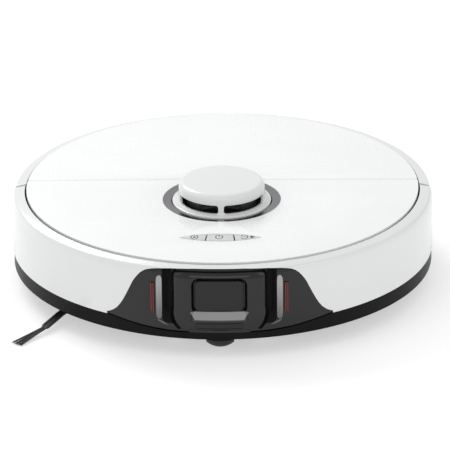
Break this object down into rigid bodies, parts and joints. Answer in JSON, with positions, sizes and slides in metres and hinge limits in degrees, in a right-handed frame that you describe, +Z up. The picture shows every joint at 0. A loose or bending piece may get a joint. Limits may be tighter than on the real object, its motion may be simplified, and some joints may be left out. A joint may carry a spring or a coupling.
{
  "type": "robot vacuum",
  "caption": "Low round robot vacuum with a laser tower, sprung wrap-around bumper, black front sensor panel, hinged rear lid, rollers, sprung wheels and a side brush.",
  "frame": {"origin": "on the floor under the centre of the round body", "axes": "+Z up, -Y towards the front panel and caster, +X to the right when facing the front panel from outside"},
  "size_m": [0.35, 0.35, 0.0965],
  "materials": {
    "base_black": "fine grained matte black",
    "white_gloss": "glossy white",
    "ring_grey": "satin grey",
    "steel": "brushed",
    "tray_grey": "matte dark grey",
    "battery": "wrapped cells",
    "board": "green solder mask",
    "panel_black": "high gloss black",
    "lens_black": "dark tinted window",
    "laser_red": "clear red",
    "bin_smoke": "smoky plastic",
    "filter_paper": "pleated paper",
    "contact_metal": "plated",
    "button_grey": "satin light grey",
    "turret_dark": "matte black",
    "rubber_dark": "soft rubber",
    "bristle": "nylon bristle",
    "roller_rubber": "moulded rubber",
    "arm_dark": "matte",
    "hub_grey": "matte",
    "tyre": "treaded rubber",
    "fan_grey": "matte"
  },
  "bodies": {
    "body": {"base_shell": "base_black", "side_shell": "white_gloss", "top_deck": "white_gloss", "lidar_ring": "ring_grey", "lid_pin_left": "steel", "lid_pin_right": "steel", "inner_tray": "tray_grey", "battery_pack": "battery", "battery_cover": "base_black", "brush_housing": "tray_grey", "brush_cover": "base_black", "brush_gearbox": "tray_grey", "main_board": "board", "caster_housing": "base_black", "lidar_base": "tray_grey", "lidar_motor": "steel", "dust_bin": "bin_smoke", "bin_cover": "bin_smoke", "bin_filter": "filter_paper", "fan_housing": "tray_grey", "fan_motor": "steel", "exhaust_grille": "tray_grey", "side_brush_motor": "base_black", "cliff_windows": "lens_black", "charge_contacts": "contact_metal", "base_screws": "steel", "bumper_switches": "base_black", "arm_pin_left": "steel", "arm_pin_right": "steel"},
    "bumper": {"bumper_cover": "white_gloss", "bumper_frame": "tray_grey", "sensor_panel": "panel_black", "camera_window": "lens_black", "laser_left": "laser_red", "laser_right": "laser_red", "dock_window": "lens_black"},
    "lid": {"rear_lid": "white_gloss"},
    "tower_cover": {"lidar_cap": "white_gloss"},
    "turret": {"lidar_turret": "turret_dark", "turret_lens": "lens_black"},
    "pulley": {"lidar_pulley": "rubber_dark"},
    "button_left": {"button_left": "button_grey"},
    "button_middle": {"button_middle": "button_grey"},
    "button_right": {"button_right": "button_grey"},
    "sweeper": {"side_brush": "rubber_dark", "side_brush_bristles": "bristle", "side_brush_screw": "steel"},
    "front_roller": {"roller_front": "roller_rubber"},
    "rear_roller": {"roller_rear": "roller_rubber"},
    "left_arm": {"arm_left": "arm_dark"},
    "right_arm": {"arm_right": "arm_dark"},
    "left_wheel": {"hub_left": "hub_grey", "tyre_left": "tyre"},
    "right_wheel": {"hub_right": "hub_grey", "tyre_right": "tyre"},
    "caster_swivel": {"caster_fork": "arm_dark", "caster_axle": "steel"},
    "caster_roll": {"caster_wheel": "rubber_dark"},
    "fan": {"impeller": "fan_grey"}
  },
  "joints": [
    {"name": "bumper_slide", "type": "slide", "parent": "body", "child": "bumper", "axis": [0, 1, 0], "range_m": [0, 0.0025], "stiffness_N_per_m": 600, "springref_m": -0.001},
    {"name": "lid_hinge", "type": "hinge", "parent": "body", "child": "lid", "pos_m": [0, 0.0172, 0.074], "axis": [1, 0, 0], "range_deg": [0, 70]},
    {"name": "tower_press", "type": "slide", "parent": "body", "child": "tower_cover", "axis": [0, 0, -1], "range_m": [0, 0.0015], "stiffness_N_per_m": 800, "springref_m": -0.002},
    {"name": "lidar_spin", "type": "hinge", "parent": "body", "child": "turret", "pos_m": [0, -0.029, 0.08], "axis": [0, 0, 1], "continuous": true},
    {"name": "pulley_spin", "type": "hinge", "parent": "body", "child": "pulley", "pos_m": [0.0414, -0.029, 0.066], "axis": [0, 0, 1], "continuous": true},
    {"name": "button_left_press", "type": "slide", "parent": "body", "child": "button_left", "axis": [0, 0, -1], "range_m": [0, 0.0007], "stiffness_N_per_m": 500, "springref_m": -0.001},
    {"name": "button_middle_press", "type": "slide", "parent": "body", "child": "button_middle", "axis": [0, 0, -1], "range_m": [0, 0.0007], "stiffness_N_per_m": 500, "springref_m": -0.001},
    {"name": "button_right_press", "type": "slide", "parent": "body", "child": "button_right", "axis": [0, 0, -1], "range_m": [0, 0.0007], "stiffness_N_per_m": 500, "springref_m": -0.001},
    {"name": "side_brush_spin", "type": "hinge", "parent": "body", "child": "sweeper", "pos_m": [-0.108, -0.083, 0.008], "axis": [0, 0, 1], "continuous": true},
    {"name": "front_roller_spin", "type": "hinge", "parent": "body", "child": "front_roller", "pos_m": [0, -0.03, 0.021], "axis": [1, 0, 0], "continuous": true},
    {"name": "rear_roller_spin", "type": "hinge", "parent": "body", "child": "rear_roller", "pos_m": [0, 0.006, 0.021], "axis": [1, 0, 0], "continuous": true},
    {"name": "left_arm_droop", "type": "hinge", "parent": "body", "child": "left_arm", "pos_m": [-0.087, 0.064, 0.04], "axis": [1, 0, 0], "range_deg": [0, 14], "stiffness_Nm_per_rad": 0.25, "springref_deg": 57.3},
    {"name": "right_arm_droop", "type": "hinge", "parent": "body", "child": "right_arm", "pos_m": [0.087, 0.064, 0.04], "axis": [1, 0, 0], "range_deg": [0, 14], "stiffness_Nm_per_rad": 0.25, "springref_deg": 57.3},
    {"name": "left_wheel_spin", "type": "hinge", "parent": "left_arm", "child": "left_wheel", "pos_m": [-0.1035, 0.018, 0.032], "axis": [1, 0, 0], "continuous": true},
    {"name": "right_wheel_spin", "type": "hinge", "parent": "right_arm", "child": "right_wheel", "pos_m": [0.1035, 0.018, 0.032], "axis": [1, 0, 0], "continuous": true},
    {"name": "caster_turn", "type": "hinge", "parent": "body", "child": "caster_swivel", "pos_m": [0, -0.145, 0.03], "axis": [0, 0, 1], "continuous": true},
    {"name": "caster_spin", "type": "hinge", "parent": "caster_swivel", "child": "caster_roll", "pos_m": [0, -0.148, 0.014], "axis": [1, 0, 0], "continuous": true},
    {"name": "fan_spin", "type": "hinge", "parent": "body", "child": "fan", "pos_m": [0, 0.1365, 0.045], "axis": [0, 0, 1], "continuous": true}
  ],
  "couplings": [
    {"joint": "pulley_spin", "follows": "lidar_spin", "ratio": -7.2},
    {"joint": "rear_roller_spin", "follows": "front_roller_spin", "ratio": -1}
  ]
}
